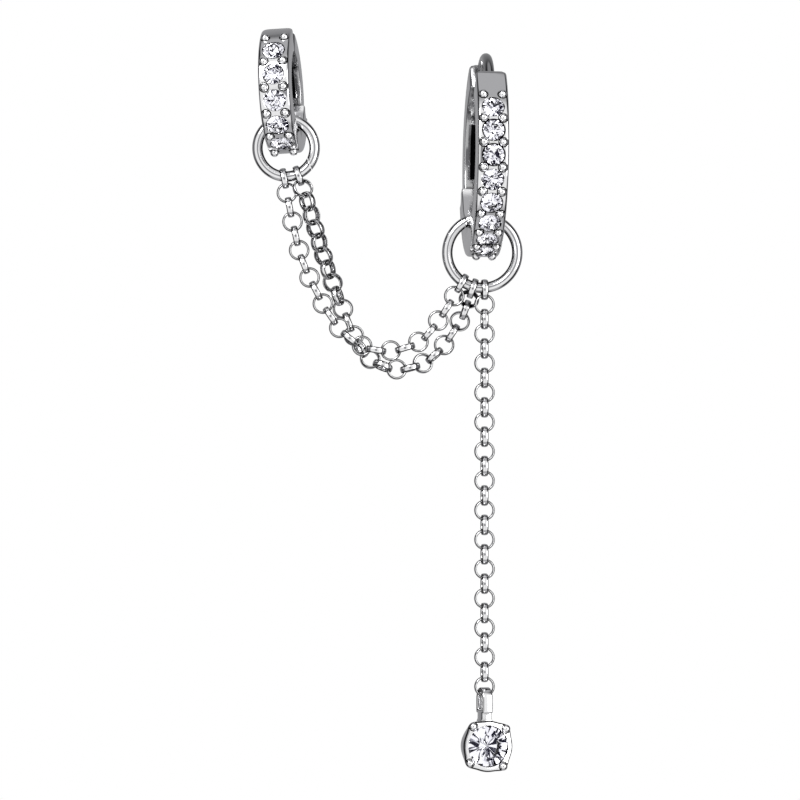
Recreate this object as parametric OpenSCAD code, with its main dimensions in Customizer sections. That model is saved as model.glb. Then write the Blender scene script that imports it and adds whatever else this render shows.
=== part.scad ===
// Ear chain earring: a stone-set hinged hoop for the lobe and a smaller one for the helix,
// joined by two draped link chains, with a third chain and a round stone drop under the lobe hoop.
// Millimetres, +Z up, seen from -Y. The origin is the top of the lobe hoop's ear post.

/* [Large hoop] */
// Outer radius of the front band
large_outer_r = 7.62; // [7.55:0.01:7.65]
// Inner radius of the front band
large_inner_r = 5.42; // [5.3:0.01:5.5]
// Angle of the front band's free end, from the rear horizontal over the top
large_front_end = 124.3; // [122:0.1:126]
// Angle of the shoulder that the ear post grows from
large_shoulder = 66; // [62:0.5:68]
// Angle of the hinge pin, below the rear horizontal
large_hinge = -25; // [-28:0.5:-22]
// Angle of the first stone
large_first_stone = 152.3; // [152:0.1:152.6]
// Angle from stone to stone
large_stone_step = 14.2; // [14.1:0.1:14.3]
// Turn about the vertical
large_yaw = 4.9; // [3:0.1:6]
// Lean about the line of sight
large_roll = 1; // [0:0.1:2]

/* [Small hoop] */
// Outer radius of the front band
small_outer_r = 4.75; // [4.72:0.01:4.77]
// Inner radius of the front band
small_inner_r = 3.05; // [3:0.01:3.1]
// Angle of the front band's free end, from the rear horizontal over the top
small_front_end = 98; // [97:0.5:100]
// Angle of the shoulder that the ear post grows from
small_shoulder = 71; // [70:0.5:72]
// Angle of the hinge pin, below the rear horizontal
small_hinge = -20; // [-22:0.5:-18]
// Angle of the first stone
small_first_stone = 141.4; // [141:0.1:141.6]
// Angle from stone to stone
small_stone_step = 24.7; // [24.5:0.1:24.9]
// Turn about the vertical
small_yaw = -7.5; // [-9:0.1:-6]
// Lean about the line of sight
small_roll = -3.3; // [-5:0.1:-2]
// Centre of the small hoop: to the side, and below the lobe post
small_centre = [-15.37, -2.47]; // [-16:0.01:0]

/* [Bands and posts] */
// Width of a front band
band_w = 2.35; // [2.2:0.01:2.4]
// Width of a back half
back_w = 1.86; // [1.8:0.01:1.9]
// Diameter of an ear post
post_d = 0.78; // [0.7:0.01:0.85]
// Diameter of a hinge pin
pin_d = 0.6; // [0.5:0.01:0.62]
// Width of the tongue between the hinge ears
tongue_w = 0.74; // [0.7:0.01:0.8]

/* [Stones and claws] */
// Diameter of a stone in the bands
stone_d = 1.6; // [1.5:0.01:1.62]
// Diameter of a claw bead between two stones
bead_d = 0.66; // [0.6:0.01:0.68]
// Distance of a claw bead from the middle of the band
bead_side = 0.73; // [0.7:0.01:0.75]
// Diameter of the stone in the drop
drop_stone_d = 3.1; // [3:0.01:3.15]

/* [Jump rings] */
// Diameter of the ring wire
ring_wire = 0.8; // [0.7:0.01:0.82]
// Radius of the large ring's wire centre line
large_ring_r = 2.655; // [2.6:0.001:2.7]
// Radius of the small ring's wire centre line
small_ring_r = 2.167; // [2.1:0.001:2.2]

/* [Chain] */
// Outer diameter of a link
link_d = 1.58; // [1.56:0.01:1.6]
// Thickness of a link's band, across its rim
link_t = 0.15; // [0.14:0.01:0.16]
// Width of a link's band, along its axis
link_w = 0.46; // [0.4:0.01:0.48]
// Distance from link to link
pitch = 1.1136; // [1.1:0.0001:1.12]
// Number of links in the drop chain
drop_links = 28; // [20:2:28]

/* [Drop] */
// Outer diameter of the setting's rim
rim_d = 3.96; // [3.9:0.01:4]
// Depth of the setting
setting_h = 1.7; // [1.6:0.01:1.8]
// Width of the bail's flat band
bail_w = 0.8; // [0.7:0.01:0.82]
// Thickness of the bail's flat band
bail_t = 0.28; // [0.25:0.01:0.3]
// Turn of the drop about the vertical
drop_yaw = 17; // [8:0.5:18]

/* [Hidden] */
$fn = 48;

metal = "lightgray";
crystal = "aliceblue";
fit_gap = 0.03;             // between a pin, tongue or stone and what holds it
hinge_gap = 0.12;           // round a hinge knuckle, which lets the half swing
rest_gap = 0.05;            // under a ring that hangs on a band
link_seat = 0.15;           // from a ring's wire centre to the centre of a link that hangs on it

// Columns of the hoop table
OUTER = 0; INNER = 1; FRONT_END = 2; SHOULDER = 3; HINGE = 4; FIRST = 5; STEP = 6; STONES = 7;
BACK_OUTER = 8; BACK_INNER = 9; HINGE_R = 10; KNUCKLE_R = 11; POST_TOP = 12; POST_ARC = 13; POST_IN = 14;
RECESS = 15;                // depth, first and last angle of the hollow inside the back half
END_BEADS = 16;             // angle of the first and of the last pair of beads
LARGE = [large_outer_r, large_inner_r, large_front_end, large_shoulder, large_hinge,
    large_first_stone, large_stone_step, 8, large_outer_r + 0.1, 5.87, 7.04, 0.64, 7.43, 4.4, 0.7,
    [0.5, -16, 26], [144, 259]];
SMALL = [small_outer_r, small_inner_r, small_front_end, small_shoulder, small_hinge,
    small_first_stone, small_stone_step, 5, small_outer_r + 0.02, 3.25, 4.15, 0.56, 3.95, 2.4, 0.4,
    [0.3, -8, 48], [124.5, 256]];

edge = 0.2;                 // bevel on a band's outer corners
inner_edge = 0.1;           // bevel on its inner corners
bead_out = 0.03;            // how far a claw bead's centre stands out of the band's face
girdle_in = 0.05;           // how far a stone's girdle lies under the band's face
seat_wall = 0.08;           // straight wall of a seat under the girdle
seat_cone = [0.72, 0.14];   // height of the taper below that wall, and the radius that it ends at
socket_d = post_d + 0.28;   // bore that the post's tip swings out of
socket_ends = [0.7, 0.6];   // reach of that bore outward and inward of the tip
post_root = 2;              // how far, in degrees, a post starts inside its shoulder
pin_ends = 0.03;            // how far a pin stays inside each side of the back half
joint_lap = 0.3;            // overlap, in degrees, between a band and its hinge knuckle
tongue_side = 2;            // width of the cut that frees each side of the tongue
cut_w = 3;                  // width of a cut that runs right through a band
recess_w = 1.0;             // width of the hollow inside a back half
seam = 0.04;                // cut through a jump ring's wire

// Places on a hoop: an angle runs from the rear horizontal over the top to the front
function on_hoop(angle, r) = [0, r * cos(angle), r * sin(angle)];
function hinge_point(h) = on_hoop(h[HINGE], h[HINGE_R]);
function post_centre(h) = [0, 0, h[POST_TOP] - h[POST_ARC]];
function stone_angle(h, i) = h[FIRST] + i * h[STEP];

// Angle on the post's arc, forward of its top, where the arc meets the front band's end face
function entry_angle(h, a = 0) =
    let (p = post_centre(h) + h[POST_ARC] * [0, -sin(a), cos(a)])
    atan2(p.z, p.y) >= h[FRONT_END] ? a : entry_angle(h, a + 0.1);
function post_point(h, a) = post_centre(h) + h[POST_ARC] * [0, -sin(a), cos(a)];
function inserted(h) = h[POST_IN] / h[POST_ARC] * 180 / PI;

// Turns a child made about Z so that it stands about a hoop's own axle
module on_axle() rotate([90, 0, 90]) children();

// The large hoop hangs from its post's top at the origin, the small one is placed by its centre
module place_large() rotate([0, large_roll, large_yaw]) translate([0, 0, -LARGE[POST_TOP]]) children();
module place_small()
    translate([small_centre[0], 0, small_centre[1]]) rotate([0, small_roll, small_yaw]) children();

// Cross-section of a band, bevelled at its four corners
module band_section(outer, inner, w)
    polygon([[inner, -w / 2 + inner_edge], [inner + inner_edge, -w / 2],
        [outer - edge, -w / 2], [outer - edge * 0.3, -w / 2 + edge * 0.3], [outer, -w / 2 + edge],
        [outer, w / 2 - edge], [outer - edge * 0.3, w / 2 - edge * 0.3], [outer - edge, w / 2],
        [inner + inner_edge, w / 2], [inner, w / 2 - inner_edge]]);

module band(outer, inner, w, from, to)
    on_axle() rotate([0, 0, from]) rotate_extrude(angle = to - from) band_section(outer, inner, w);

// A round bar along the hoop's axle through a point
module bar(p, r, w, x = 0) translate([x, p.y, p.z]) rotate([0, 90, 0]) cylinder(r = r, h = w, center = true);

// Seat drilled for a stone: straight at the girdle and tapered below it
module seat(h, angle) rotate([angle, 0, 0]) rotate([-90, 0, 0]) {
    r = stone_d / 2 + fit_gap;
    floor_r = h[OUTER] - girdle_in - seat_wall;
    translate([0, 0, floor_r]) cylinder(r = r, h = 1);
    translate([0, 0, floor_r - seat_cone[0]]) cylinder(r1 = seat_cone[1], r2 = r, h = seat_cone[0] + 0.001);
}

// Two claw beads, side by side on the band's face
module bead_pair(h, angle) rotate([angle - 90, 0, 0])
    for (side = [-1, 1]) translate([side * bead_side, 0, h[OUTER] + bead_out]) sphere(d = bead_d);

// Socket in the front band's end, along the way that the post's tip swings out
module socket(h) {
    tip = post_point(h, entry_angle(h) + inserted(h) / 2);
    arm = tip - hinge_point(h);
    translate(tip) rotate([90 - atan2(arm.y, arm.z), 0, 0])
        translate([0, 0, -socket_ends[0]]) cylinder(d = socket_d, h = socket_ends[0] + socket_ends[1]);
}

module hoop_front(h) difference() {
    union() {
        band(h[OUTER], h[INNER], band_w, h[FRONT_END], 360 + h[HINGE] - joint_lap);
        bar(hinge_point(h), h[KNUCKLE_R], tongue_w);
        for (i = [1 : h[STONES] - 1]) bead_pair(h, stone_angle(h, i - 0.5));
        for (a = h[END_BEADS]) bead_pair(h, a);
    }
    for (side = [-1, 1])
        bar(hinge_point(h), h[KNUCKLE_R] + hinge_gap, tongue_side, side * (tongue_side + tongue_w) / 2);
    bar(hinge_point(h), pin_d / 2 + fit_gap, cut_w);
    for (i = [0 : h[STONES] - 1]) seat(h, stone_angle(h, i));
    socket(h);
}

module hoop_back(h) difference() {
    union() {
        band(h[BACK_OUTER], h[BACK_INNER], back_w, h[HINGE] + joint_lap, h[SHOULDER]);
        for (side = [-1, 1])
            bar(hinge_point(h), h[KNUCKLE_R], back_w / 2 - tongue_w / 2, side * (back_w + tongue_w) / 4);
        ear_post(h);
    }
    bar(hinge_point(h), h[KNUCKLE_R] + hinge_gap, tongue_w + 2 * fit_gap);
    bar(hinge_point(h), pin_d / 2 + fit_gap, cut_w);
    hollow(h);
}

// Round wire arched from inside the shoulder into the socket
module ear_post(h) {
    start = -asin(h[BACK_OUTER] * cos(h[SHOULDER]) / h[POST_ARC]) - post_root;
    last = entry_angle(h) + inserted(h);
    translate(post_centre(h)) on_axle() rotate([0, 0, 90 + start])
        rotate_extrude(angle = last - start) translate([h[POST_ARC], 0]) circle(d = post_d);
}

module hollow(h)
    on_axle() rotate([0, 0, h[RECESS][1]]) rotate_extrude(angle = h[RECESS][2] - h[RECESS][1])
        translate([h[BACK_INNER] - 0.2, -recess_w / 2]) square([h[RECESS][0] + 0.2, recess_w]);

module hinge_pin(h) bar(hinge_point(h), pin_d / 2, back_w - 2 * pin_ends);

// Cut stone with an eight-sided table, a sixteen-sided girdle and a pointed back
module cut_stone(d) hull() {
    translate([0, 0, d * 0.15]) linear_extrude(0.01) rotate(22.5) circle(d = d * 0.58, $fn = 8);
    translate([0, 0, -d * 0.015]) linear_extrude(d * 0.03) rotate(11.25) circle(d = d, $fn = 16);
    translate([0, 0, -d * 0.41]) linear_extrude(0.01) rotate(22.5) circle(d = d * 0.06, $fn = 8);
}

module band_stone(h, i)
    rotate([stone_angle(h, i), 0, 0]) rotate([-90, 0, 0])
        translate([0, 0, h[OUTER] - girdle_in]) cut_stone(stone_d);

// Jump rings hang on the inner corners of the bands, in the plane that faces the viewer
function ring_drop(h, ring_r) =
    h[INNER] + sqrt(pow(ring_r - ring_wire / 2, 2) - pow(band_w / 2, 2)) - rest_gap;
function below(centre, roll, d) = centre + d * [-sin(roll), 0, -cos(roll)];
large_ring = below([0, 0, 0], large_roll, LARGE[POST_TOP] + ring_drop(LARGE, large_ring_r));
small_ring = below([small_centre[0], 0, small_centre[1]], small_roll, ring_drop(SMALL, small_ring_r));

module jump_ring(centre, r, cut_at) translate(centre) rotate([90, 0, 0]) difference() {
    rotate_extrude() translate([r, 0]) circle(d = ring_wire);
    rotate([0, 0, cut_at]) translate([r, 0, 0]) rotate([0, 0, 35]) cube([3, seam, 2], center = true);
}

// One link: a band with a lens-shaped section, turned so that its axis points along a direction
module link(p, axis) {
    mid = link_d / 2 - link_t / 2;
    lens_r = (pow(link_w / 2, 2) + pow(link_t / 2, 2)) / link_t;
    translate(p) rotate([0, acos(axis.z), atan2(axis.y, axis.x)]) rotate_extrude() intersection() {
        translate([mid + lens_r - link_t / 2, 0]) circle(lens_r);
        translate([mid - lens_r + link_t / 2, 0]) circle(lens_r);
    }
}

// Place of a link that hangs on a ring: the angle is measured from the ring's lowest point to the right
function on_ring(ring, ring_r, angle, depth = 0) =
    ring + (ring_r + link_seat) * [sin(angle), 0, -cos(angle)] + [0, depth, 0];

// Routes of the two draped chains. Columns: x, depth behind the rings, height, twist.
function row(p, twist) = [p.x, p.y, p.z, twist];
UPPER = [
    row(on_ring(small_ring, small_ring_r, -3.4), 0),
    [-14.6, 0, -12.5, 0],
    [-13.75, 0, -15.65, 0],
    [-11.8, 0, -19.45, 0],
    [-9.8, 0, -21.55, 0],
    [-7.35, 0, -22.15, 0],
    [-4.9, 0, -21.35, 0],
    [-3.1, 0, -19.15, 0],
    row(on_ring(large_ring, large_ring_r, -34), 0)];
LOWER = [
    row(on_ring(small_ring, small_ring_r, 24, -0.12), 0),
    [-13.4, -0.75, -11.2, 41],
    [-12.2, 0.15, -15.25, 51],
    [-10.7, 1.15, -19.25, 83],
    [-9.15, 1.3, -22.4, 110],
    [-6.65, 1.3, -23.55, 94],
    [-4, 2.2, -22.6, 95],
    [-1.95, 2.05, -19.9, 88],
    row(on_ring(large_ring, large_ring_r, -15, 0.14), 90)];
upper_links = 23;
lower_links = 26;

// Smooth curve through the rows, sampled finely, and the length run at each sample
samples = 24;
function between(a, b, c, d, t) =
    0.5 * (2 * b + (c - a) * t + (2 * a - 5 * b + 4 * c - d) * t * t + (3 * b - a - 3 * c + d) * t * t * t);
function smooth(rows) = let (n = len(rows) - 1) concat(
    [for (i = [0 : n - 1], j = [0 : samples - 1])
        between(i > 0 ? rows[i - 1] : 2 * rows[0] - rows[1], rows[i], rows[i + 1],
            i < n - 1 ? rows[i + 2] : 2 * rows[n] - rows[n - 1], j / samples)],
    [rows[n]]);
function step_length(a, b) = norm([b[0] - a[0], b[1] - a[1], b[2] - a[2]]);
function run_at(c) =
    [for (i = 0, s = 0; i < len(c); s = s + (i + 1 < len(c) ? step_length(c[i], c[i + 1]) : 0), i = i + 1) s];
function at(c, run, s) = [for (k = [0 : 3]) lookup(s, [for (i = [0 : len(c) - 1]) [run[i], c[i][k]]])];

// Axis of a link: square to the chain, a quarter turn on from its neighbour's, and twisted with the chain
function link_axis(before, after, turn) =
    let (t = [after[0] - before[0], after[1] - before[1], after[2] - before[2]],
        n = cross(t / norm(t), [0, 1, 0]), side = n / norm(n), b = cross(side, t / norm(t)))
    cos(turn) * side + sin(turn) * b;

module strand(rows, links) {
    c = smooth(rows);
    run = run_at(c);
    spacing = run[len(run) - 1] / (links - 1);
    for (k = [0 : links - 1]) {
        p = at(c, run, k * spacing);
        before = at(c, run, max(k - 0.5, 0) * spacing);
        after = at(c, run, min(k + 0.5, links - 1) * spacing);
        link([p[0], p[1], p[2]], link_axis(before, after, p[3] + 90 * (k % 2)));
    }
}

// The drop chain hangs straight down, and its last link carries the bail
drop_top = on_ring(large_ring, large_ring_r, 3.4);
swing_centre = drop_top - [0, 0, (drop_links - 1) * pitch + link_d / 2 - link_t / 2];

// Sizes of the drop, from its swing axis
bail_inner = [0.62, 0.38, 1.0];  // half depth of the bail's hole, its top above and its foot below the axis
rim_z = -3.78;              // height of the setting's middle
rim_face = -1.0;            // where the rim's front face lies
wall_t = 0.36;              // width of the rim's face
shank = 1.1;                // depth of the shank between the bail and the rim
claw = [1.9, 0.67];         // distance of a claw bead from the middle, and its diameter
claw_angles = [43, 128, 221, 308];

module place_drop() translate(swing_centre) rotate([0, 0, drop_yaw]) children();

// Outline of the bail from the side: a round top over straight sides
module bail_outline(extra) {
    half = bail_inner[0] + extra;
    top = bail_inner[1] - bail_inner[0];
    translate([0, top]) circle(half);
    translate([-half, -bail_inner[2] - extra]) square([2 * half, bail_inner[2] + extra + top]);
}

module bail() difference() {
    on_axle() translate([0, 0, -bail_w / 2]) linear_extrude(bail_w) union() {
        bail_outline(bail_t);
        translate([-shank / 2, rim_z + rim_d / 2 - 0.3]) square([shank, 0.3 - bail_inner[2] - rim_z - rim_d / 2]);
    }
    on_axle() translate([0, 0, -1]) linear_extrude(2) bail_outline(0);
}

module drop_setting() {
    seat_r = drop_stone_d / 2 + fit_gap;
    difference() {
        union() {
            translate([0, rim_face, rim_z]) rotate([-90, 0, 0]) rotate_extrude() polygon([
                [0, 0.1], [rim_d / 2 - wall_t, 0], [rim_d / 2 - 0.1, 0], [rim_d / 2, 0.1],
                [rim_d / 2 - 0.28, setting_h], [0, setting_h]]);
            bail();
            for (a = claw_angles)
                translate([claw[0] * cos(a), rim_face + 0.06, rim_z + claw[0] * sin(a)])
                    sphere(d = claw[1]);
        }
        translate([0, rim_face, rim_z]) rotate([-90, 0, 0]) rotate_extrude() polygon([
            [0, -1], [seat_r, -1], [seat_r, 0.42], [0.5, 1.3], [0.5, 3], [0, 3]]);
    }
}

module drop_stone()
    translate([0, rim_face + 0.3, rim_z]) rotate([90, 0, 0]) cut_stone(drop_stone_d);

color(metal) place_large() hoop_front(LARGE);  // large_hoop_front
color(metal) place_large() hoop_back(LARGE);  // large_hoop_back
color(metal) place_large() hinge_pin(LARGE);  // large_hinge_pin
color(metal) jump_ring(large_ring, large_ring_r, 118);  // large_jump_ring
color(metal) place_small() hoop_front(SMALL);  // small_hoop_front
color(metal) place_small() hoop_back(SMALL);  // small_hoop_back
color(metal) place_small() hinge_pin(SMALL);  // small_hinge_pin
color(metal) jump_ring(small_ring, small_ring_r, -35);  // small_jump_ring
for (i = [1 : LARGE[STONES]])
    color(crystal) place_large() band_stone(LARGE, i - 1);
for (i = [1 : SMALL[STONES]])
    color(crystal) place_small() band_stone(SMALL, i - 1);
color(metal) strand(UPPER, upper_links);  // upper_chain
color(metal) strand(LOWER, lower_links);  // lower_chain
color(metal)  // drop_chain
    for (k = [0 : drop_links - 1])
        link(drop_top - [0, 0, k * pitch], k % 2 == 0 ? [1, 0, 0] : [0, 1, 0]);
color(metal) place_drop() drop_setting();
color(crystal) place_drop() drop_stone();
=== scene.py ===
import bpy, bmesh
from math import sin, cos, asin, acos, atan2, radians, degrees, pi, hypot, exp
from mathutils import Matrix, Vector


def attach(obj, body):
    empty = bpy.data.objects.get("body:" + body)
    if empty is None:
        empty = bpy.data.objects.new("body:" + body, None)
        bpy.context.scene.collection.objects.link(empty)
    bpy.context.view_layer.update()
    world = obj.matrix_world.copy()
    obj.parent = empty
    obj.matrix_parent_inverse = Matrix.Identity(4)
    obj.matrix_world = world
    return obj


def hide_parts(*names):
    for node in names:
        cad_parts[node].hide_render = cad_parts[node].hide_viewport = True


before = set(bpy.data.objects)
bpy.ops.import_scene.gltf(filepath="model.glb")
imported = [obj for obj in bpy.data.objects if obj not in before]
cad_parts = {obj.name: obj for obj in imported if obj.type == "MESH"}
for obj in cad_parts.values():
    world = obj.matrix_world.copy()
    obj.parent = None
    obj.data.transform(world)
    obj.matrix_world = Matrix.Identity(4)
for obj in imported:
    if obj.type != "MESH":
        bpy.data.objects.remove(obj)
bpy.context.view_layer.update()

mm = 0.001          # pieces are modelled in millimetres and settled into the frame's metres
slack = 0.01        # play in millimetres, where places are compared
sharp = 60          # edges that turn by more degrees than this get a bevel
barSides = 48
ballSides, ballRows = 28, 18


def clearSelection():
    if bpy.context.object and bpy.context.object.mode != 'OBJECT':
        bpy.ops.object.mode_set(mode='OBJECT')
    bpy.ops.object.select_all(action='DESELECT')


def activate(piece):
    clearSelection()
    piece.select_set(True)
    bpy.context.view_layer.objects.active = piece


def editAll(piece):
    activate(piece)
    bpy.ops.object.mode_set(mode='EDIT')
    bpy.ops.mesh.select_all(action='SELECT')


def pick(kind, test):               # selects vertices or faces by their place
    mesh = bmesh.from_edit_mesh(bpy.context.object.data)
    bpy.ops.mesh.select_all(action='DESELECT')
    for item in getattr(mesh, kind):
        corners = [item] if kind == "verts" else item.verts
        middle = sum((v.co for v in corners), Vector()) / len(corners)
        item.select_set(bool(test(middle, item)))
    mesh.select_flush_mode()


def leaveEdit():
    bpy.ops.object.mode_set(mode='OBJECT')


def turnInto(piece, matrix):        # moves the mesh, so that the object itself stays at the origin
    activate(piece)
    piece.matrix_world = matrix
    bpy.ops.object.transform_apply(location=True, rotation=True, scale=True)
    return piece


def closeUp(piece):
    editAll(piece)
    bpy.ops.mesh.remove_doubles(threshold=1e-4)
    bpy.ops.mesh.normals_make_consistent(inside=False)
    leaveEdit()
    return piece


def carve(piece, cutter, how='DIFFERENCE'):
    cut = piece.modifiers.new("cut", 'BOOLEAN')
    cut.object, cut.operation, cut.solver = cutter, how, 'EXACT'
    activate(piece)
    bpy.ops.object.modifier_apply(modifier=cut.name)
    bpy.data.objects.remove(cutter, do_unlink=True)
    return piece


def joined(parts):
    clearSelection()
    for part in parts:
        part.select_set(True)
    bpy.context.view_layer.objects.active = parts[0]
    if len(parts) > 1:
        bpy.ops.object.join()
    return bpy.context.object


def copyOf(part):
    twin = part.copy()
    twin.data = part.data.copy()
    bpy.context.collection.objects.link(twin)
    return twin


def bevelSharp(piece, width, segments):
    edgeCut = piece.modifiers.new("edges", 'BEVEL')
    edgeCut.width, edgeCut.segments, edgeCut.limit_method = width, segments, 'ANGLE'
    edgeCut.angle_limit = radians(sharp)
    activate(piece)
    bpy.ops.object.modifier_apply(modifier=edgeCut.name)
    return piece


def bar(radius, length, place, direction=(1, 0, 0), sides=barSides):   # round bar centred on a point
    clearSelection()
    bpy.ops.mesh.primitive_cylinder_add(vertices=sides, radius=radius, depth=length)
    turn = Vector((0, 0, 1)).rotation_difference(Vector(direction)).to_matrix().to_4x4()
    return turnInto(bpy.context.object, Matrix.Translation(place) @ turn)


def block(size, place):
    clearSelection()
    bpy.ops.mesh.primitive_cube_add(size=1)
    return turnInto(bpy.context.object, Matrix.Translation(place) @ Matrix.Diagonal((*size, 1)))


def turned(profile, sides, fill='NGON'):        # a turned form, from rows of radius and height
    clearSelection()
    bpy.ops.mesh.primitive_circle_add(vertices=sides, radius=profile[0][0], fill_type=fill)
    form = turnInto(bpy.context.object, Matrix.Translation((0, 0, profile[0][1])))
    editAll(form)
    for (lastR, lastZ), (r, z) in zip(profile, profile[1:]):
        bpy.ops.mesh.extrude_region_move(TRANSFORM_OT_translate={"value": (0, 0, z - lastZ)})
        bpy.ops.transform.resize(value=(r / lastR, r / lastR, 1))
    leaveEdit()
    return closeUp(form)


def ball(radius, place):
    clearSelection()
    bpy.ops.mesh.primitive_uv_sphere_add(segments=ballSides, ring_count=ballRows, radius=radius)
    return turnInto(bpy.context.object, Matrix.Translation(place))


def onHoop(angle, r, side=0):
    return Vector((side, r * cos(radians(angle)), r * sin(radians(angle))))


def sweptBand(inner, outer, width, start, end, steps, outerCut=0.0, innerCut=0.0):    # a bar bent round X
    clearSelection()
    bpy.ops.mesh.primitive_plane_add(size=1)
    band = bpy.context.object
    middle = (inner + outer) / 2
    turnInto(band, Matrix.Translation((0, middle, 0)) @ Matrix.Diagonal((width, outer - inner, 1, 1)))
    editAll(band)
    for cut, isOuter in ((outerCut, True), (innerCut, False)):
        if cut:
            pick("verts", lambda p, v: (p.y > middle) == isOuter)
            bpy.ops.mesh.bevel(offset=cut, segments=3, profile=0.5, affect='VERTICES')
    bpy.ops.mesh.select_all(action='SELECT')
    bpy.ops.mesh.spin(steps=steps, angle=-radians(end - start), center=(0, 0, 0), axis=(1, 0, 0))
    leaveEdit()
    turnInto(band, Matrix.Rotation(radians(start), 4, 'X'))
    return closeUp(band)


def settle(piece, name, body, finish, nodes, place=Matrix(), smoothTo=35):
    turnInto(piece, Matrix.Scale(mm, 4) @ place)
    piece.name = piece.data.name = name
    if smoothTo:
        bpy.ops.object.shade_smooth_by_angle(angle=radians(smoothTo))
    else:
        bpy.ops.object.shade_flat()
    if finish:
        piece.data.materials.append(finish)
    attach(piece, body)
    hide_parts(*nodes)


def linear(hexColour):
    parts = [int(hexColour[i:i + 2], 16) / 255 for i in (1, 3, 5)]
    return [c / 12.92 if c <= 0.04045 else ((c + 0.055) / 1.055) ** 2.4 for c in parts] + [1]


def addNode(tree, kind, settings=None, feeds=None):
    node = tree.nodes.new(kind)
    for key, value in (settings or {}).items():
        if key in node.inputs:
            node.inputs[key].default_value = value
        else:
            setattr(node, key, value)
    for key, source in (feeds or {}).items():
        tree.links.new(source, node.inputs[key])
    return node


def newFinish(name):
    finish = bpy.data.materials.new(name)
    finish.use_nodes = True
    tree = finish.node_tree
    return finish, tree, tree.nodes["Principled BSDF"]


# Rhodium plate over polished brass: nearly white, mirror bright, with faint hairlines from the
# polishing wheel. Painted shade darkens seats, recesses and corners, and painted shade and dark
# reflections darken the inside of a ring. The hairlines are about 0.3 mm long and 0.05 mm apart, coarse
# enough to show.
plate = {"paintedShadeTones": ((0.0, "#0e0e10"), (0.3, "#3a3a3c"), (0.8, "#e9e9ea")), "wearScale": 1400.0,
         "hairScale": 3500.0, "hairStretch": 6, "hairDepth": 0.00002}


def rhodiumPlate(name, roughLow, roughHigh, hairlines, reach):
    finish, tree, shader = newFinish(name)
    shader.inputs["Metallic"].default_value = 1.0
    place = addNode(tree, "ShaderNodeTexCoord").outputs["Object"]
    stretch = addNode(tree, "ShaderNodeMapping", {"Scale": (1, 1, plate["hairStretch"])},
                      {"Vector": place})
    wear = addNode(tree, "ShaderNodeTexNoise", {"Scale": plate["wearScale"], "Detail": 3.0},
                   {"Vector": place})
    rough = addNode(tree, "ShaderNodeMapRange", {"To Min": roughLow, "To Max": roughHigh},
                    {"Value": wear.outputs["Fac"]})
    hairs = addNode(tree, "ShaderNodeTexNoise", {"Scale": plate["hairScale"], "Detail": 2.0},
                    {"Vector": stretch.outputs["Vector"]})
    bump = addNode(tree, "ShaderNodeBump", {"Strength": hairlines, "Distance": plate["hairDepth"]},
                   {"Height": hairs.outputs["Fac"]})
    # painted shade: the occlusion node and the shade attribute darken the base colour through the tone
    # ramp
    corner = addNode(tree, "ShaderNodeAmbientOcclusion", {"Distance": reach, "samples": 8})
    inside = addNode(tree, "ShaderNodeAttribute", {"attribute_name": "paintedShade"})
    unshaded = addNode(tree, "ShaderNodeMath", {"operation": 'SUBTRACT'},
                   {0: corner.outputs["AO"], 1: inside.outputs["Fac"]})
    tone = addNode(tree, "ShaderNodeValToRGB", None, {"Fac": unshaded.outputs[0]})
    tone.color_ramp.elements.new(0.5)
    for stop, (where, colour) in zip(tone.color_ramp.elements, plate["paintedShadeTones"]):
        stop.position, stop.color = where, linear(colour)
    tree.links.new(tone.outputs["Color"], shader.inputs["Base Color"])
    tree.links.new(rough.outputs["Result"], shader.inputs["Roughness"])
    tree.links.new(bump.outputs["Normal"], shader.inputs["Normal"])
    return finish


def paintedShade(piece, kind, amount):   # painted shade: how much darker a place is painted, from 0 to 1
    layer = piece.data.attributes.new("paintedShade", 'FLOAT', kind)
    for i, item in enumerate(piece.data.vertices if kind == 'POINT' else piece.data.polygons):
        layer.data[i].value = min(max(amount(item.co if kind == 'POINT' else item.center), 0), 1)
    return piece


glass = {"colour": "#fdfdff", "ior": 1.75, "tint": "#8a8a90", "hazeScale": 2200.0, "haze": 0.015,
         "foil": "#f5f5f7", "foilRough": 0.02, "rippleScale": 1600.0, "ripple": 0.04,
         "rippleDepth": 0.00002}


# Machine-cut crystal: water clear. The tint damps the glare, which keeps the stone's depth in sight.
def cutCrystal(name):
    finish, tree, shader = newFinish(name)
    shader.inputs["Base Color"].default_value = linear(glass["colour"])
    shader.inputs["Transmission Weight"].default_value = 1.0
    shader.inputs["IOR"].default_value = glass["ior"]
    shader.inputs["Specular Tint"].default_value = linear(glass["tint"])
    place = addNode(tree, "ShaderNodeTexCoord").outputs["Object"]
    haze = addNode(tree, "ShaderNodeTexNoise", {"Scale": glass["hazeScale"], "Detail": 2.0},
                   {"Vector": place})
    rough = addNode(tree, "ShaderNodeMapRange", {"To Min": 0.0, "To Max": glass["haze"]},
                    {"Value": haze.outputs["Fac"]})
    tree.links.new(rough.outputs["Result"], shader.inputs["Roughness"])
    return finish


# The stones' backs carry a silvered foil, a mirror with a slight ripple, which gives them their star
def silverFoil(name):
    finish, tree, shader = newFinish(name)
    shader.inputs["Base Color"].default_value = linear(glass["foil"])
    shader.inputs["Metallic"].default_value = 1.0
    shader.inputs["Roughness"].default_value = glass["foilRough"]
    place = addNode(tree, "ShaderNodeTexCoord").outputs["Object"]
    ripple = addNode(tree, "ShaderNodeTexNoise", {"Scale": glass["rippleScale"], "Detail": 1.0},
                     {"Vector": place})
    depth = {"Strength": glass["ripple"], "Distance": glass["rippleDepth"]}
    bump = addNode(tree, "ShaderNodeBump", depth, {"Height": ripple.outputs["Fac"]})
    tree.links.new(bump.outputs["Normal"], shader.inputs["Normal"])
    return finish


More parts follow.
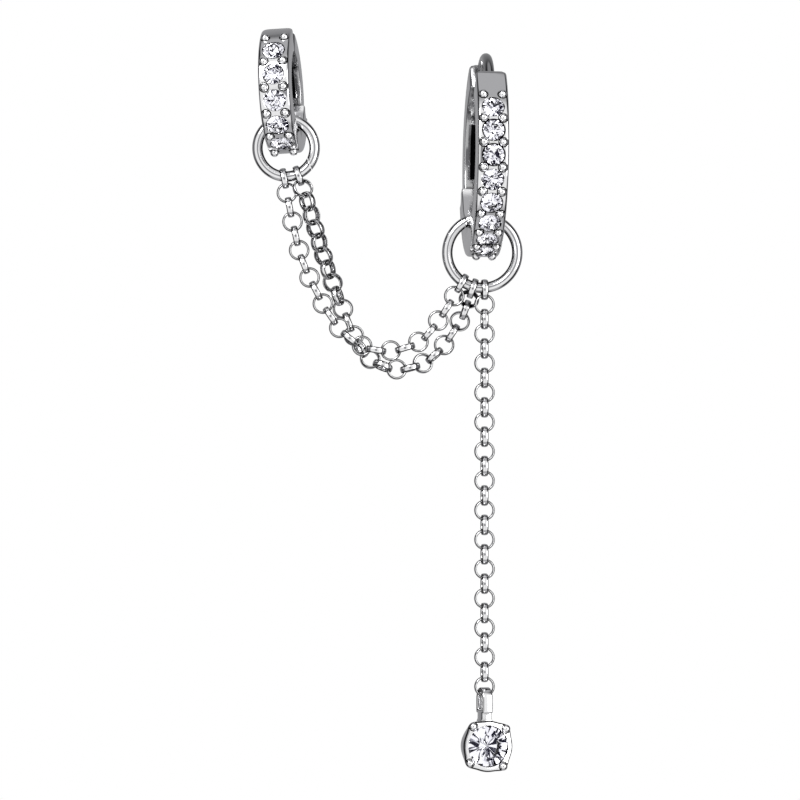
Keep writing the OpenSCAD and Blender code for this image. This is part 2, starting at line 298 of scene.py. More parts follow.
castRhodium = rhodiumPlate("Rhodium plate, cast and polished", 0.05, 0.13, 0.12, 0.0005)
wireRhodium = rhodiumPlate("Rhodium plate, drawn wire", 0.04, 0.09, 0.06, 0.0004)
crystal = cutCrystal("Cut crystal")
foil = silverFoil("Silver foil backing")
print("finishes made")

# A stone's parts as shares of its diameter; the tip is a radius in millimetres
gem = {"table": 0.56, "crown": 0.15, "girdle": 0.03, "pavilion": 0.43, "tip": 0.01,
       "tableSides": 8, "sides": 16}


def ringOfPoints(count, radius, height):
    clearSelection()
    bpy.ops.mesh.primitive_circle_add(vertices=count, radius=radius, fill_type='NOTHING')
    return turnInto(bpy.context.object, Matrix.Translation((0, 0, height)))


def brilliant(diameter, tipShift=0.0):
    r = diameter / 2
    half = diameter * gem["girdle"] / 2
    levels = [ringOfPoints(gem["tableSides"], r * gem["table"], half + diameter * gem["crown"]),
              ringOfPoints(gem["sides"], r, half), ringOfPoints(gem["sides"], r, -half),
              ringOfPoints(gem["sides"], gem["tip"], gem["tip"] - half - diameter * gem["pavilion"])]
    turnInto(levels[-1], Matrix.Translation((tipShift, 0, 0)))
    stone = joined(levels)
    editAll(stone)
    bpy.ops.mesh.convex_hull()
    leaveEdit()
    stone.data.materials.append(crystal)
    stone.data.materials.append(foil)
    for face in stone.data.polygons:            # the facets that look down are foiled
        face.material_index = 1 if face.normal.z < -0.1 else 0
    return stone


# Angles of a hoop run from the rear horizontal over the top to the front. It hangs from its centre point
# by the length that hang gives, so the large hoop's post passes through the origin.
largeHoop = {"centre": (0, 0, 0), "hang": 7.43, "yaw": 4.9, "roll": 1, "outer": 7.62, "inner": 5.42,
             "frontEnd": 124.3, "shoulder": 66, "hinge": -25, "first": 152.3, "step": 14.2, "stones": 8,
             "endBeads": (144, 259), "lastPair": (0.6, 0.1), "backOuter": 7.72, "backInner": 5.87,
             "hingeR": 7.04, "knuckle": 0.64, "postTop": 7.43, "postArc": 4.4, "postIn": 0.7,
             "recess": (0.5, -16, 26), "turns": (4, 20, 11, 0, 31, 8, 17, 26),
             "rims": (0, 0.05, 0.05, 0, 0.03, 0, 0, 0), "corner": 0.25}
smallHoop = {"centre": (-15.37, 0, -2.47), "hang": 0, "yaw": -7.5, "roll": -3.3,
             "outer": 4.75, "inner": 3.05, "frontEnd": 98, "shoulder": 71, "hinge": -20,
             "first": 141.4, "step": 24.7, "stones": 5,
             "endBeads": (124.5, 256), "lastPair": (0.73, 0.06), "backOuter": 4.77, "backInner": 3.25,
             "hingeR": 4.15, "knuckle": 0.56, "postTop": 3.95, "postArc": 2.4, "postIn": 0.4,
             "recess": (0.3, -8, 48), "turns": (9, 33, 15, 2, 24),
             "rims": (0.02, 0, 0, 0.02, 0), "corner": 0.5}
bands = {"width": 2.35, "backWidth": 1.86, "backCorner": 0.35, "edge": 0.2, "endEdge": 0.1, "postD": 0.78,
         "pinD": 0.6, "pinShort": 0.06, "pinEdge": 0.05, "tongue": 0.74, "tongueSpare": 0.1, "fit": 0.03,
         "hingeGap": 0.12, "endGap": 0.3, "through": 3, "sideCut": 2, "stoneD": 1.6, "stoneDown": 0.05,
         "beadD": 0.66, "beadSide": 0.73, "beadOut": 0.03, "pitR": 0.42, "pitOut": 0.12,
         "socketFit": 0.14, "socketDeep": 1.3, "socketBack": 0.05, "postSunk": 2,
         "recessWidth": 1.0, "recessLead": 0.2, "frontSteps": 180, "backSteps": 90, "recessSteps": 24,
         "postSides": 28, "postSteps": 40, "pinSides": 32}
stoneSeat = {"down": 0.13, "tip": 0.14, "deep": 0.72, "wall": 0.09, "rimTop": 0.14, "clear": 1.1,
             "chamfer": 0.07, "sides": 40}


def placeOf(hoop):
    return (Matrix.Translation(hoop["centre"]) @ Matrix.Rotation(radians(hoop["yaw"]), 4, 'Z')
            @ Matrix.Rotation(radians(hoop["roll"]), 4, 'Y') @ Matrix.Translation((0, 0, -hoop["hang"])))


def outwardAt(angle, r):        # puts a stone's or seat's own axis along the hoop's radius
    return Matrix.Rotation(radians(angle - 90), 4, 'X') @ Matrix.Translation((0, 0, r))


def postPoint(hoop, angle):
    return Vector((0, -hoop["postArc"] * sin(radians(angle)),
                   hoop["postTop"] - hoop["postArc"] + hoop["postArc"] * cos(radians(angle))))


def entryAngle(hoop):               # where the post's arc enters the front half, in small steps
    angle = 0
    while degrees(atan2(postPoint(hoop, angle).z, postPoint(hoop, angle).y)) < hoop["frontEnd"]:
        angle += 0.1
    return angle


def stoneAngle(hoop, i):
    return hoop["first"] + i * hoop["step"]


def seatCutter(hoop, i):            # taper, straight wall and bright-cut rim of one seat
    r = bands["stoneD"] / 2 + bands["fit"] + hoop["rims"][i]
    rim = bands["stoneD"] / 2 + bands["fit"] + stoneSeat["chamfer"]
    cutter = turned([(stoneSeat["tip"], -stoneSeat["deep"]), (r, 0), (r, stoneSeat["wall"]),
                     (rim, stoneSeat["rimTop"]), (rim, stoneSeat["clear"])], stoneSeat["sides"])
    return turnInto(cutter, outwardAt(stoneAngle(hoop, i), hoop["outer"] - stoneSeat["down"]))


def beadPlaces(hoop, out):
    start, end = hoop["endBeads"]
    angles = [start] + [stoneAngle(hoop, i - 0.5) for i in range(1, hoop["stones"])]
    rows = [(a, bands["beadSide"], out) for a in angles]
    rows.append((end, hoop["lastPair"][0], out - bands["beadOut"] + hoop["lastPair"][1]))
    return [onHoop(a, hoop["outer"] + o, way * side) for a, side, o in rows for way in (-1, 1)]


def roundEnd(piece, angle, way, width, radius):     # rounds the two corners of a band's end
    for corner in piece.data.vertices:
        across = hypot(corner.co.y, corner.co.z)
        run = way * radians(degrees(atan2(corner.co.z, corner.co.y)) % 360 - angle) * across
        if -slack < run < radius:
            reach = width / 2 - radius + max(radius ** 2 - (radius - max(run, 0)) ** 2, 0) ** 0.5
            corner.co.x *= reach / (width / 2)


def makeFront(hoop):
    hinge = onHoop(hoop["hinge"], hoop["hingeR"])
    end = 360 + hoop["hinge"] - bands["endGap"]
    front = sweptBand(hoop["inner"], hoop["outer"], bands["width"], hoop["frontEnd"], end,
                      bands["frontSteps"], bands["edge"], bands["edge"] / 2)
    roundEnd(front, hoop["frontEnd"], 1, bands["width"], hoop["corner"])
    bevelSharp(front, bands["endEdge"], 3)
    carve(front, bar(hoop["knuckle"], bands["tongue"] + bands["tongueSpare"], hinge), 'UNION')
    middle, reach = (bands["sideCut"] + bands["tongue"]) / 2, hoop["knuckle"] + bands["hingeGap"]
    sides = [bar(reach, bands["sideCut"], hinge + Vector((way * middle, 0, 0))) for way in (-1, 1)]
    carve(front, joined(sides))         # trims the tongue to its width
    carve(front, bar(bands["pinD"] / 2 + bands["fit"], bands["through"], hinge))
    carve(front, joined([ball(bands["pitR"], p) for p in beadPlaces(hoop, bands["pitOut"])]))
    beads = [ball(bands["beadD"] / 2, p) for p in beadPlaces(hoop, bands["beadOut"])]
    carve(front, joined(beads), 'UNION')
    carve(front, joined([seatCutter(hoop, i) for i in range(hoop["stones"])]))
    tip = postPoint(hoop, entryAngle(hoop) + degrees(hoop["postIn"] / hoop["postArc"]) / 2)
    arm = tip - hinge
    way = Vector((0, -arm.z, arm.y)).normalized()
    carve(front, bar(bands["postD"] / 2 + bands["socketFit"], bands["socketDeep"],
                     tip - way * bands["socketBack"], way))
    return front


# How much painted shade darkens a back half's recess, and its inner face and end face; the margins are in
# degrees
backShade = {"recess": 1, "inner": 0.45, "margin": 0.5, "endMargin": 0.6}


def makePost(hoop):                 # a round wire, arched from inside the shoulder into the socket
    rise = degrees(asin(hoop["backOuter"] * cos(radians(hoop["shoulder"])) / hoop["postArc"]))
    start = -rise - bands["postSunk"]
    last = entryAngle(hoop) + degrees(hoop["postIn"] / hoop["postArc"])
    clearSelection()
    bpy.ops.mesh.primitive_circle_add(vertices=bands["postSides"], radius=bands["postD"] / 2,
                                      fill_type='NGON')
    post = turnInto(bpy.context.object, Matrix.Translation((0, hoop["postArc"], 0)))
    editAll(post)
    bpy.ops.mesh.spin(steps=bands["postSteps"], angle=-radians(last - start),
                      center=(0, 0, 0), axis=(1, 0, 0))
    leaveEdit()
    turnInto(post, Matrix.Translation((0, 0, hoop["postTop"] - hoop["postArc"]))
             @ Matrix.Rotation(radians(90 + start), 4, 'X'))
    return closeUp(post)


def makeBack(hoop):
    hinge = onHoop(hoop["hinge"], hoop["hingeR"])
    back = sweptBand(hoop["backInner"], hoop["backOuter"], bands["backWidth"],
                     hoop["hinge"] + bands["endGap"], hoop["shoulder"],
                     bands["backSteps"], bands["edge"], bands["edge"] / 2)
    roundEnd(back, hoop["shoulder"], -1, bands["backWidth"], bands["backCorner"])
    bevelSharp(back, bands["endEdge"], 3)
    ear = (bands["backWidth"] - bands["tongue"]) / 2
    middle = (bands["backWidth"] + bands["tongue"]) / 4
    ears = [bar(hoop["knuckle"], ear, hinge + Vector((way * middle, 0, 0))) for way in (-1, 1)]
    carve(back, joined(ears), 'UNION')
    carve(back, bar(hoop["knuckle"] + bands["hingeGap"], bands["tongue"] + 2 * bands["fit"], hinge))
    carve(back, bar(bands["pinD"] / 2 + bands["fit"], bands["through"], hinge))
    deep, low, high = hoop["recess"]
    carve(back, sweptBand(hoop["backInner"] - bands["recessLead"], hoop["backInner"] + deep,
                          bands["recessWidth"], low, high, bands["recessSteps"]))
    carve(back, makePost(hoop), 'UNION')

    def paintedBackShade(p):          # painted shade: the recess is painted dark, and the inner face and end face darker
        depth = hypot(p.y, p.z) - hoop["backInner"]
        angle = degrees(atan2(p.z, p.y))
        onRecess = low - backShade["margin"] < angle < high + backShade["margin"]
        inRecess = 2 * slack < depth < deep + 2 * slack and abs(p.x) < bands["recessWidth"] / 2 + slack
        if onRecess and inRecess:
            return backShade["recess"]
        onInner = -5 * slack < depth < 2 * slack
        onEnd = abs(p.x) < bands["backWidth"] / 2 and angle > hoop["shoulder"] - backShade["endMargin"]
        return backShade["inner"] if onInner or onEnd else 0

    return paintedShade(back, 'FACE', paintedBackShade)


def makeHoop(hoop, label, backBody):
    place = placeOf(hoop)
    settle(makeFront(hoop), label + "HoopFront", "earring", castRhodium,
           [label + "_hoop_front"], place)
    print(label, "front made")
    settle(makeBack(hoop), label + "HoopBack", backBody, castRhodium,
           [label + "_hoop_back"], place)
    pin = bar(bands["pinD"] / 2, bands["backWidth"] - bands["pinShort"],
              onHoop(hoop["hinge"], hoop["hingeR"]), sides=bands["pinSides"])
    bevelSharp(pin, bands["pinEdge"], 2)
    settle(pin, label + "HingePin", "earring", wireRhodium,
           [label + "_hinge_pin"], place)
    for i in range(hoop["stones"]):
        stone = brilliant(bands["stoneD"])
        turnInto(stone, outwardAt(stoneAngle(hoop, i), hoop["outer"] - bands["stoneDown"])
                 @ Matrix.Rotation(radians(hoop["turns"][i]), 4, 'Z'))
        settle(stone, f"{label}Stone{i + 1}", "earring", None,
               [f"{label}_stone_{i + 1}"], place, 0)
    print(label, "hoop made")


makeHoop(largeHoop, "large", "lobe_back")
makeHoop(smallHoop, "small", "helix_back")

rings = {"wire": 0.8, "largeR": 2.655, "smallR": 2.167, "restGap": 0.05, "largeCut": 118, "smallCut": -35,
         "seam": 0.05, "seamSides": (3, 2), "slant": 35, "offset": 0.12, "darkFrom": 0.6, "darkSlope": 3,
         "steps": 128, "sides": 32}


def ringCentre(hoop, ringR):        # the ring hangs on the hoop's lowest point, across its band
    rise = ((ringR - rings["wire"] / 2) ** 2 - (bands["width"] / 2) ** 2) ** 0.5
    drop = hoop["hang"] + hoop["inner"] + rise - rings["restGap"]
    roll = radians(hoop["roll"])
    return Vector(hoop["centre"]) + drop * Vector((-sin(roll), 0, -cos(roll)))


largeRing = ringCentre(largeHoop, rings["largeR"])
smallRing = ringCentre(smallHoop, rings["smallR"])


def makeRing(ringR, cutAt):
    clearSelection()
    bpy.ops.mesh.primitive_torus_add(major_segments=rings["steps"], minor_segments=rings["sides"],
                                     major_radius=ringR, minor_radius=rings["wire"] / 2)
    ring = bpy.context.object
    slab = block((rings["seam"], *rings["seamSides"]), (0, 0, 0))
    turnInto(slab, Matrix.Translation((ringR, 0, 0))
             @ Matrix.Rotation(radians(-90 - rings["slant"]), 4, 'Z'))
    carve(ring, slab)
    for corner in ring.data.vertices:       # the wire's two ends pass each other a little
        around = atan2(corner.co.y, corner.co.x) / (2 * pi) % 1
        corner.co.z += rings["offset"] * (around - 0.5)

    def inside(p):                          # painted reflection: the inner side of the ring is painted dark
        inward = (ringR - hypot(p.x, p.y)) / (rings["wire"] / 2)
        return rings["darkSlope"] * (inward - rings["darkFrom"])

    paintedShade(ring, 'POINT', inside)
    return turnInto(ring, Matrix.Rotation(radians(90), 4, 'X') @ Matrix.Rotation(radians(cutAt), 4, 'Z'))


for label, centre in (("large", largeRing), ("small", smallRing)):
    settle(makeRing(rings[label + "R"], rings[label + "Cut"]), label + "JumpRing", "earring",
           wireRhodium, [label + "_jump_ring"], Matrix.Translation(centre))
print("jump rings made")

# seat and cadThick place the links as the source does; the shade keys set painted shade on a link's edges
# and a painted dark reflection along its crest
chain = {"linkD": 1.58, "thick": 0.19, "wide": 0.48, "fullness": 2.9, "dome": 0.025, "pitch": 1.1136,
         "dropLinks": 28, "dropTurn": 5.3, "upperLinks": 23, "lowerLinks": 26, "seat": 0.15,
         "cadThick": 0.15, "samples": 24, "crestShade": 0.3, "crestWide": 0.1,
         "edgeFrom": 0.3, "edgeSlope": 4, "sideFrom": 0.66, "sideSlope": 8, "sides": 24, "steps": 40}


def onRing(centre, ringR, angle, depth=0.0, twist=0.0):     # angle from the ring's foot to the right
    p = centre + (ringR + chain["seat"]) * Vector((sin(radians(angle)), 0, -cos(radians(angle))))
    return (p.x, p.y + depth, p.z, twist)


# Points of the strands' centre lines, each with the links' twist in degrees
upperRoute = [onRing(smallRing, rings["smallR"], -3.4), (-14.6, 0, -12.5, 0), (-13.75, 0, -15.65, 0),
              (-11.8, 0, -19.45, 0), (-9.8, 0, -21.55, 0), (-7.35, 0, -22.15, 0), (-4.9, 0, -21.35, 0),
              (-3.1, 0, -19.15, 0), onRing(largeRing, rings["largeR"], -34)]
lowerRoute = [onRing(smallRing, rings["smallR"], 24, -0.12), (-13.4, -0.75, -11.2, 41),
              (-12.2, 0.15, -15.25, 51), (-10.7, 1.15, -19.25, 83), (-9.15, 1.3, -22.4, 110),
              (-6.65, 1.3, -23.55, 94), (-4, 2.2, -22.6, 95), (-1.95, 2.05, -19.9, 88),
              onRing(largeRing, rings["largeR"], -15, 0.14, 90)]


def smoothRoute(rows):
    rows = [Vector(row) for row in rows]
    rows = [2 * rows[0] - rows[1]] + rows + [2 * rows[-1] - rows[-2]]
    points = []
    for a, b, c, d in zip(rows, rows[1:], rows[2:], rows[3:]):
        for j in range(chain["samples"]):
            t = j / chain["samples"]
            points.append(0.5 * (2 * b + (c - a) * t + (2 * a - 5 * b + 4 * c - d) * t * t
                                 + (3 * b - a - 3 * c + d) * t ** 3))
    points.append(rows[-2])
    run = [0.0]
    for a, b in zip(points, points[1:]):
        run.append(run[-1] + (b - a).to_3d().length)
    return points, run


def along(points, run, s):
    k = next((i for i in range(1, len(run)) if run[i] >= s), len(run) - 1)
    part = min(max((s - run[k - 1]) / (run[k] - run[k - 1]), 0), 1)
    return points[k - 1].lerp(points[k], part)


def linkPlaces(rows, count):
    points, run = smoothRoute(rows)
    spacing = run[-1] / (count - 1)
    places = []
    for k in range(count):
        p = along(points, run, k * spacing)
        before = along(points, run, max(k - 0.5, 0) * spacing).to_3d()
        after = along(points, run, min(k + 0.5, count - 1) * spacing).to_3d()
        t = (after - before).normalized()
        side = t.cross(Vector((0, 1, 0))).normalized()
        turn = radians(p[3] + 90 * (k % 2))
        places.append((p.to_3d(), cos(turn) * side + sin(turn) * side.cross(t)))
    return places


def makeLink():                     # a ring of flattened wire, domed outside, with painted shade on its edges and a painted dark reflection on its crest
    halfT, halfW = chain["thick"] / 2, chain["wide"] / 2
    middle = (chain["linkD"] - chain["thick"]) / 2
    clearSelection()
    bpy.ops.mesh.primitive_circle_add(vertices=chain["sides"], radius=1)
    link = bpy.context.object
    for corner in link.data.vertices:
        x, u = [(part > 0 or -1) * abs(part) ** (2 / chain["fullness"]) for part in corner.co[:2]]
        corner.co = (x * halfW, middle + u * halfT - (chain["dome"] * x * x if u > 0 else 0), 0)
    editAll(link)
    bpy.ops.mesh.spin(steps=chain["steps"], angle=-radians(360), center=(0, 0, 0), axis=(1, 0, 0))
    leaveEdit()
    closeUp(link)

    def shade(p):
        out, x = hypot(p.y, p.z), abs(p.x) / halfW
        if x < chain["crestWide"] and out > middle:
            return chain["crestShade"]
        level = out + (chain["dome"] * x * x if out >= middle else 0)
        onEdge = (abs(level - middle) / halfT - chain["edgeFrom"]) * chain["edgeSlope"]
        onSide = (x - chain["sideFrom"]) * chain["sideSlope"]
        return min(max(onEdge, 0), 1) * min(max(onSide, 0), 1)

    paintedShade(link, 'POINT', shade)
    return turnInto(link, Matrix.Rotation(radians(90), 4, 'Y'))


def makeStrand(places, name, node):
    template = makeLink()
    links = []
    for p, axis in places:
        turn = Matrix.Rotation(atan2(axis.y, axis.x), 4, 'Z') @ Matrix.Rotation(acos(axis.z), 4, 'Y')
        links.append(turnInto(copyOf(template), Matrix.Translation(p) @ turn))
    bpy.data.objects.remove(template, do_unlink=True)
    settle(joined(links), name, "earring", wireRhodium, [node])


dropTop = Vector(onRing(largeRing, rings["largeR"], 3.4)[:3])
makeStrand(linkPlaces(upperRoute, chain["upperLinks"]), "upperChain", "upper_chain")
makeStrand(linkPlaces(lowerRoute, chain["lowerLinks"]), "lowerChain", "lower_chain")
axes = [Vector((cos(radians(turn)), sin(radians(turn)), 0))
        for turn in (chain["dropTurn"], chain["dropTurn"] + 90)]
straight = [(dropTop - Vector((0, 0, k * chain["pitch"])), axes[k % 2])
            for k in range(chain["dropLinks"])]
makeStrand(straight, "dropChain", "drop_chain")
print("chains made")

# Heights are from the swing's centre, depths from the rim's face; rimRoll has insets with their depths
drop = {"yaw": 17, "rimZ": -3.78, "rimFace": -1.0, "rimD": 3.9, "depth": 1.7, "wall": 0.36, "taper": 0.28,
        "rimRoll": ((0, 0.18), (0.03, 0.1), (0.08, 0.03), (0.15, 0)), "backHole": 0.5, "seatTop": 0.06,
        "seatFoot": 0.42, "coneFoot": 1.3, "lobe": 0.3, "lobeSpread": 15, "lobeTaper": 0.7,
        "stoneD": 3.1, "tipShift": 0.08, "stoneIn": 0.3, "stoneTurn": 10,
        "bailHalf": 0.62, "bailTop": 0.38, "bailFoot": 1.0, "bailW": 0.8, "bailT": 0.28, "bailEdge": 0.12,
        "shank": 1.1, "shankIn": 0.3, "shankUp": 0.1, "flare": 1.4, "flareH": 0.45, "shankEdge": 0.08,
        "clawReach": 1.93, "clawD": 0.64, "clawIn": 0.02, "pitGap": 0.07, "pitOut": 0.08,
        "claws": (43, 128, 221, 308), "trimOut": 0.6, "trimHalf": 1, "sides": 144, "bailSteps": 28}
lastLink = dropTop - Vector((0, 0, (chain["dropLinks"] - 1) * chain["pitch"]))
swingCentre = lastLink - Vector((0, 0, (chain["linkD"] - chain["cadThick"]) / 2))
dropPlace = Matrix.Translation(swingCentre) @ Matrix.Rotation(radians(drop["yaw"]), 4, 'Z')


def makeBail():
    half, t = drop["bailHalf"], drop["bailT"]
    turnAt = drop["bailTop"] - half
    clearSelection()
    bpy.ops.mesh.primitive_plane_add(size=1)
    bail = turnInto(bpy.context.object, Matrix.Translation((0, -half - t / 2, -drop["bailFoot"] - t))
                    @ Matrix.Diagonal((drop["bailW"], t, 1, 1)))
    editAll(bail)
    bpy.ops.mesh.extrude_region_move(TRANSFORM_OT_translate={"value": (0, 0, t)})
    bpy.ops.mesh.extrude_region_move(TRANSFORM_OT_translate={"value": (0, 0, drop["bailFoot"] + turnAt)})
    bpy.ops.mesh.spin(steps=drop["bailSteps"], angle=radians(180), center=(0, 0, turnAt), axis=(1, 0, 0))
    bpy.ops.mesh.extrude_region_move(TRANSFORM_OT_translate={"value": (0, 0, -drop["bailFoot"] - turnAt)})
    bpy.ops.mesh.extrude_region_move(TRANSFORM_OT_translate={"value": (0, 0, -t)})
    bpy.ops.mesh.select_mode(type='FACE')
    pick("faces", lambda p, f: p.z < -drop["bailFoot"] and abs(abs(p.y) - half) < slack)
    bpy.ops.mesh.bridge_edge_loops()
    leaveEdit()
    closeUp(bail)
    return bevelSharp(bail, drop["bailEdge"], 4)


def lobeAt(x, z):
    around = degrees(atan2(z, x))
    near = min(abs((around - angle + 180) % 360 - 180) for angle in drop["claws"])
    return drop["lobe"] * exp(-(near / drop["lobeSpread"]) ** 2)


def makeCollet():
    outer, seatR, h = drop["rimD"] / 2, drop["stoneD"] / 2 + bands["fit"], drop["depth"]
    rows = [(drop["backHole"], -h), (outer - drop["taper"], -h)]
    rows += [(outer - inset, -depth) for inset, depth in drop["rimRoll"]]
    rows += [(outer - drop["wall"], 0), (seatR, -drop["seatTop"]), (seatR, -drop["seatFoot"]),
             (drop["backHole"], -drop["coneFoot"]), (drop["backHole"], -h)]
    collet = turned(rows, drop["sides"], 'NOTHING')
    for corner in collet.data.vertices:         # the rim swells into a lobe under each claw
        if hypot(corner.co.x, corner.co.y) > seatR + 5 * slack:
            fade = 1 + corner.co.z / h * drop["lobeTaper"]
            swell = 1 + lobeAt(corner.co.x, corner.co.y) * fade / outer
            corner.co.x *= swell
            corner.co.y *= swell
    return turnInto(collet, Matrix.Translation((0, drop["rimFace"], drop["rimZ"]))
                    @ Matrix.Rotation(radians(90), 4, 'X'))


def makeShank():
    top = -drop["bailFoot"] - drop["shankUp"]
    foot = drop["rimZ"] + drop["rimD"] / 2 - drop["shankIn"] + drop["flareH"]
    shank = block((drop["bailW"], drop["shank"], top - foot), (0, 0, (top + foot) / 2))
    editAll(shank)
    bpy.ops.mesh.select_mode(type='FACE')
    pick("faces", lambda p, f: f.normal.z < -0.5)
    bpy.ops.mesh.extrude_region_move(TRANSFORM_OT_translate={"value": (0, 0, -drop["flareH"])})
    bpy.ops.transform.resize(value=(drop["flare"], 1, 1))
    leaveEdit()
    return bevelSharp(shank, drop["shankEdge"], 3)


# The small bevels of rim and bail carry a painted dark line, painted shade along the edge. Each band runs
# from the edge inwards.
paintedEdgeShade = {"rim": 0.9, "rimDepth": 0.15, "rimBand": (0.12, 0.03), "bail": 0.6, "bailBand": (0.06, 0.005),
            "bailLow": 0.7}


# painted shade: dark lines along the bevels of rim and bail
def settingEdges(p):
    r, depth = hypot(p.x, p.z - drop["rimZ"]), p.y - drop["rimFace"]
    edge = drop["rimD"] / 2 + lobeAt(p.x, p.z - drop["rimZ"])
    inner, outer = paintedEdgeShade["rimBand"]
    if slack < depth < paintedEdgeShade["rimDepth"] and edge - inner < r < edge + outer:
        return paintedEdgeShade["rim"]
    inner, outer = [drop["bailW"] / 2 - inset for inset in paintedEdgeShade["bailBand"]]
    onBail = p.z > -drop["bailFoot"] - paintedEdgeShade["bailLow"] and inner < abs(p.x) < outer
    return paintedEdgeShade["bail"] if onBail else 0


def clawBalls(radius, depth):
    return joined([ball(radius, (drop["clawReach"] * cos(radians(angle)), drop["rimFace"] + depth,
                                 drop["rimZ"] + drop["clawReach"] * sin(radians(angle))))
                   for angle in drop["claws"]])


def makeSetting():
    setting = makeCollet()
    carve(setting, makeShank(), 'UNION')
    carve(setting, makeBail(), 'UNION')
    carve(setting, clawBalls(drop["clawD"] / 2 + drop["pitGap"], -drop["pitOut"]))
    carve(setting, clawBalls(drop["clawD"] / 2, drop["clawIn"]), 'UNION')
    trimR = drop["stoneD"] / 2 + bands["fit"] - slack / 2       # clear of the wall, it trims the claws
    trim = turned([(trimR, -drop["trimHalf"]), (trimR, drop["trimHalf"])], drop["sides"])
    carve(setting, turnInto(trim, Matrix.Translation((0, drop["rimFace"] - drop["trimOut"], drop["rimZ"]))
                            @ Matrix.Rotation(radians(90), 4, 'X')))
    return paintedShade(setting, 'POINT', settingEdges)


settle(makeSetting(), "dropSetting", "drop", castRhodium, ["drop_setting"], dropPlace)
dropStone = brilliant(drop["stoneD"], drop["tipShift"])
turnInto(dropStone, Matrix.Translation((0, drop["rimFace"] + drop["stoneIn"], drop["rimZ"]))
         @ Matrix.Rotation(radians(90), 4, 'X') @ Matrix.Rotation(radians(drop["stoneTurn"]), 4, 'Z'))
settle(dropStone, "dropStone", "drop", None, ["drop_stone"], dropPlace, 0)
print("drop made")

bpy.context.view_layer.update()

# The tent runs from the camera's side to the rear. Its patches, in order: above, below, right, left and
# the grey round the lens. The panels are what the stones gather from round the camera.
studio = {"floorZ": -0.16, "floorR": 1.2, "floorSides": 96, "floor": "#e6e6e6", "floorRough": 0.9,
          "tent": [(0.0, "#ffffff"), (0.25, "#ffffff"), (0.31, "#d2d2d3"), (0.38, "#6a6a6c"),
                   (0.44, "#262628"), (0.50, "#1a1a1c"), (0.62, "#1e1e20"), (0.72, "#565658"),
                   (0.82, "#8c8c8e"), (1.0, "#a2a2a4")],
          "patches": [("Z", 0.85, 0.93, "#b6b6b8"), ("Z", -0.82, -0.9, "#b4b4b6"),
                      ("X", 0.88, 0.96, "#77777a"), ("X", -0.88, -0.96, "#77777a"),
                      ("Y", -0.965, -0.975, "#98989b")],
          "panels": [(0.0, "#100f1e"), (0.31, "#19182c"), (0.36, "#c9c9d0"), (0.44, "#f5f5f8"),
                     (1.0, "#ffffff")],
          "panelCount": 3.0, "panelTurn": 2.0, "panelStrength": 1.3, "aim": (0, 0, -0.02),
          "boxes": [("key box", (-0.25, -0.45, 0.35), (0.3, 0.3), 3),
                    ("fill box", (0.4, -0.35, 0.05), (0.25, 0.5), 1.2)]}

clearSelection()
bpy.ops.mesh.primitive_circle_add(vertices=studio["floorSides"], radius=studio["floorR"],
                                  fill_type='NGON', location=(0, 0, studio["floorZ"]))
floor = bpy.context.object
floor.name = "floor"
paper, paperTree, paperShader = newFinish("Matt white paper")
paperShader.inputs["Base Color"].default_value = linear(studio["floor"])
paperShader.inputs["Roughness"].default_value = studio["floorRough"]
floor.data.materials.append(paper)
floor.visible_glossy = floor.visible_transmission = False       # metal and stones see the tent alone


def softBox(name, place, size, power):
    light = bpy.data.objects.new(name, bpy.data.lights.new(name, 'AREA'))
    light.data.shape, light.data.energy = 'RECTANGLE', power
    light.data.size, light.data.size_y = size
    light.location = place
    light.rotation_euler = (Vector(studio["aim"]) - Vector(place)).to_track_quat('-Z', 'Y').to_euler()
    bpy.context.collection.objects.link(light)


for box in studio["boxes"]:
    softBox(*box)

world = bpy.data.worlds.new("light tent")
bpy.context.scene.world = world
world.use_nodes = True
sky = world.node_tree
towards = addNode(sky, "ShaderNodeTexCoord")
split = addNode(sky, "ShaderNodeSeparateXYZ", None, {"Vector": towards.outputs["Generated"]})


def ramp(value, stops):             # for values from -1 to 1
    spread = addNode(sky, "ShaderNodeMapRange", {"From Min": -1.0, "From Max": 1.0}, {"Value": value})
    shades = addNode(sky, "ShaderNodeValToRGB", None, {"Fac": spread.outputs["Result"]})
    while len(shades.color_ramp.elements) < len(stops):
        shades.color_ramp.elements.new(0.5)
    for stop, (place, colour) in zip(shades.color_ramp.elements, stops):
        stop.position, stop.color = place, linear(colour)
    return shades.outputs["Color"]


def number(kind, first, second=0.0):
    step = addNode(sky, "ShaderNodeMath", {"operation": kind})
    for i, value in enumerate((first, second)):
        if isinstance(value, float):
            step.inputs[i].default_value = value
        else:
            sky.links.new(value, step.inputs[i])
    return step.outputs[0]


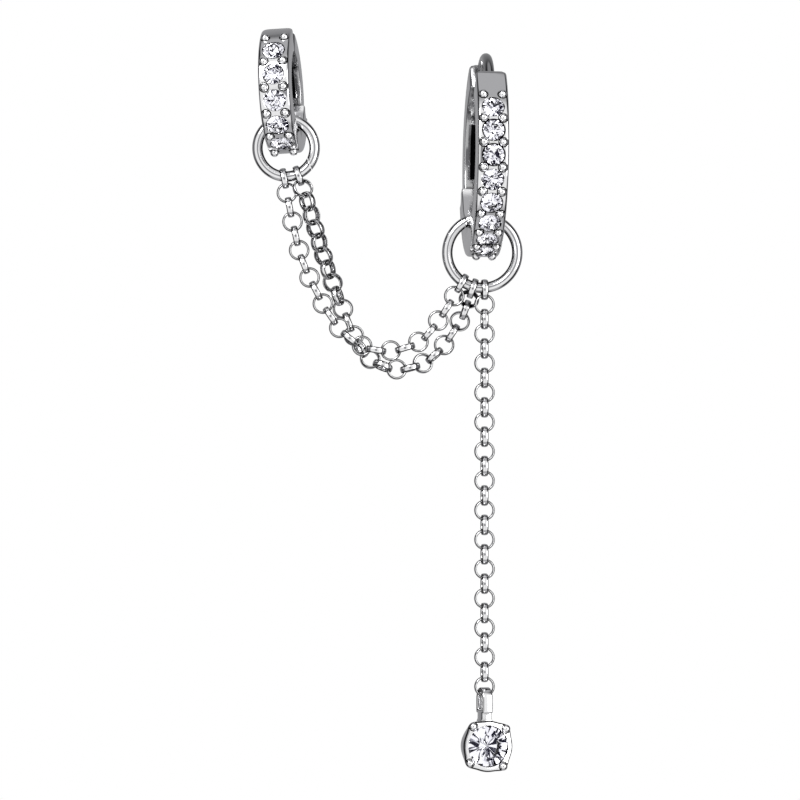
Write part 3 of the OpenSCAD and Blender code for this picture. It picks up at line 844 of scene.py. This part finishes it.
def patch(under, axis, low, high, colour):      # a soft-edged patch of the tent
    part = addNode(sky, "ShaderNodeMapRange", {"From Min": low, "From Max": high},
                   {"Value": split.outputs[axis]})
    return addNode(sky, "ShaderNodeMixRGB", {"Color2": linear(colour)},
                   {"Color1": under, "Fac": part.outputs["Result"]}).outputs["Color"]


# Metal sees the tent, the stones' depth the panels, and camera and diffuse rays plain white
tent = ramp(split.outputs["Y"], studio["tent"])
for axis, low, high, colour in studio["patches"]:
    tent = patch(tent, axis, low, high, colour)
around = number('ARCTAN2', split.outputs["Z"], split.outputs["X"])
wave = number('ADD', number('MULTIPLY', around, studio["panelCount"]), studio["panelTurn"])
panels = ramp(number('SINE', wave), studio["panels"])
ground = addNode(sky, "ShaderNodeBackground", None, {"Color": tent})
inStones = addNode(sky, "ShaderNodeBackground", {"Strength": studio["panelStrength"]}, {"Color": panels})
plain = addNode(sky, "ShaderNodeBackground", {"Color": linear("#ffffff")})
seen = addNode(sky, "ShaderNodeLightPath")
both = addNode(sky, "ShaderNodeMixShader", None, {"Fac": seen.outputs["Is Transmission Ray"],
                                                  1: ground.outputs[0], 2: inStones.outputs[0]})
plainly = number('MAXIMUM', seen.outputs["Is Camera Ray"], seen.outputs["Is Diffuse Ray"])
mix = addNode(sky, "ShaderNodeMixShader", None, {"Fac": plainly, 1: both.outputs[0], 2: plain.outputs[0]})
sky.links.new(mix.outputs[0], sky.nodes["World Output"].inputs["Surface"])

view = {"place": (-0.00649, -0.6, -0.02588), "turn": (90, 0, 0), "sensor": 36, "lens": 356.4,
        "clip": (0.01, 10)}

camera = bpy.data.objects.new("camera", bpy.data.cameras.new("camera"))
camera.data.sensor_width, camera.data.lens = view["sensor"], view["lens"]
camera.data.clip_start, camera.data.clip_end = view["clip"]
camera.location = view["place"]
camera.rotation_euler = [radians(angle) for angle in view["turn"]]
bpy.context.collection.objects.link(camera)
bpy.context.scene.camera = camera
bpy.context.scene.view_settings.view_transform = 'Standard'
print("studio ready")
